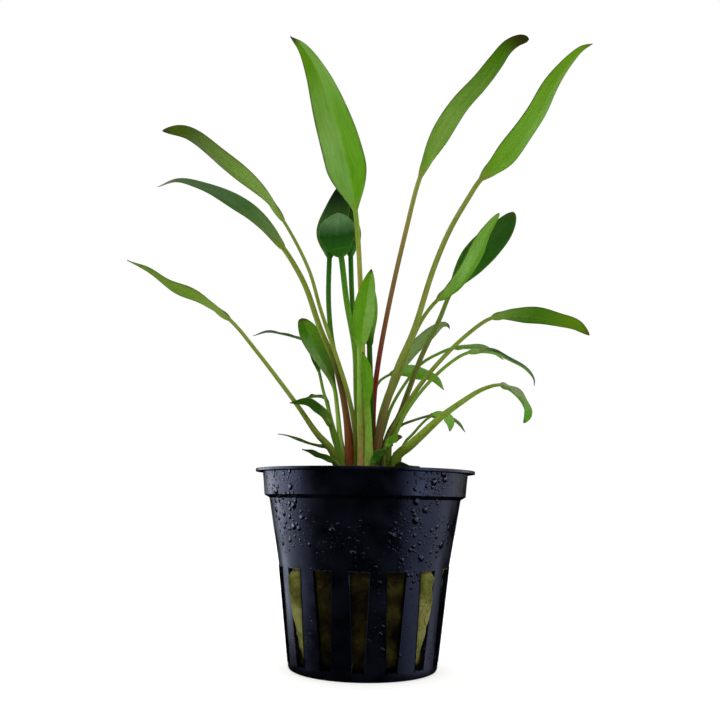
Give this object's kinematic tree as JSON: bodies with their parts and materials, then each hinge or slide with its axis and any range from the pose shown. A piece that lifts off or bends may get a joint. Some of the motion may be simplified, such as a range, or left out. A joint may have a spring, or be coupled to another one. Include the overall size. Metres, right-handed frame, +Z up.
{
  "type": "potted cryptocoryne",
  "caption": "Young potted aquarium plant: slender lance-shaped green leaves on long petioles fan out of a plug of mineral wool in a tapered black slotted net pot",
  "frame": {"origin": "Centre of the pot's flat base, on the surface that it stands on", "axes": "+Z is up along the pot's axis, +X is to the right and +Y away from a viewer in front of the pot"},
  "size_m": [0.1254, 0.0636, 0.1672],
  "materials": {
    "pot_plastic": "satin",
    "wool": "matte",
    "leaf_green": "satin",
    "leaf_dark": "satin",
    "leaf_light": "satin"
  },
  "bodies": {
    "root": {"pot": "pot_plastic", "rockwool": "wool", "leaf_top_centre": "leaf_light", "leaf_top_right": "leaf_green", "leaf_far_right": "leaf_green", "leaf_upper_left": "leaf_green", "leaf_second_left": "leaf_dark", "leaf_low_left": "leaf_green", "leaf_back_left": "leaf_dark", "leaf_back_middle": "leaf_dark", "leaf_back_right": "leaf_dark", "leaf_dark_right": "leaf_dark", "leaf_light_right": "leaf_light", "leaf_bright_arch": "leaf_green", "leaf_thin_arch_upper": "leaf_dark", "leaf_thin_arch_lower": "leaf_dark", "leaf_front_centre": "leaf_light", "leaf_behind_front": "leaf_green", "leaf_small_front": "leaf_light", "leaf_low_arch": "leaf_green", "leaf_small_right_thin": "leaf_dark", "leaf_small_right_hanging": "leaf_green", "leaf_crossing": "leaf_green", "leaf_hooked": "leaf_green", "leaf_on_edge": "leaf_dark", "leaf_split_tip": "leaf_dark", "leaf_behind_split": "leaf_dark", "leaf_small_left": "leaf_dark", "leaf_small_left_edge": "leaf_dark", "leaf_thread_left": "leaf_green", "leaf_low_dark_left": "leaf_dark", "leaf_round_tip": "leaf_green", "leaf_over_rim": "leaf_dark", "leaf_short_dark": "leaf_dark"}
  },
  "joints": []
}
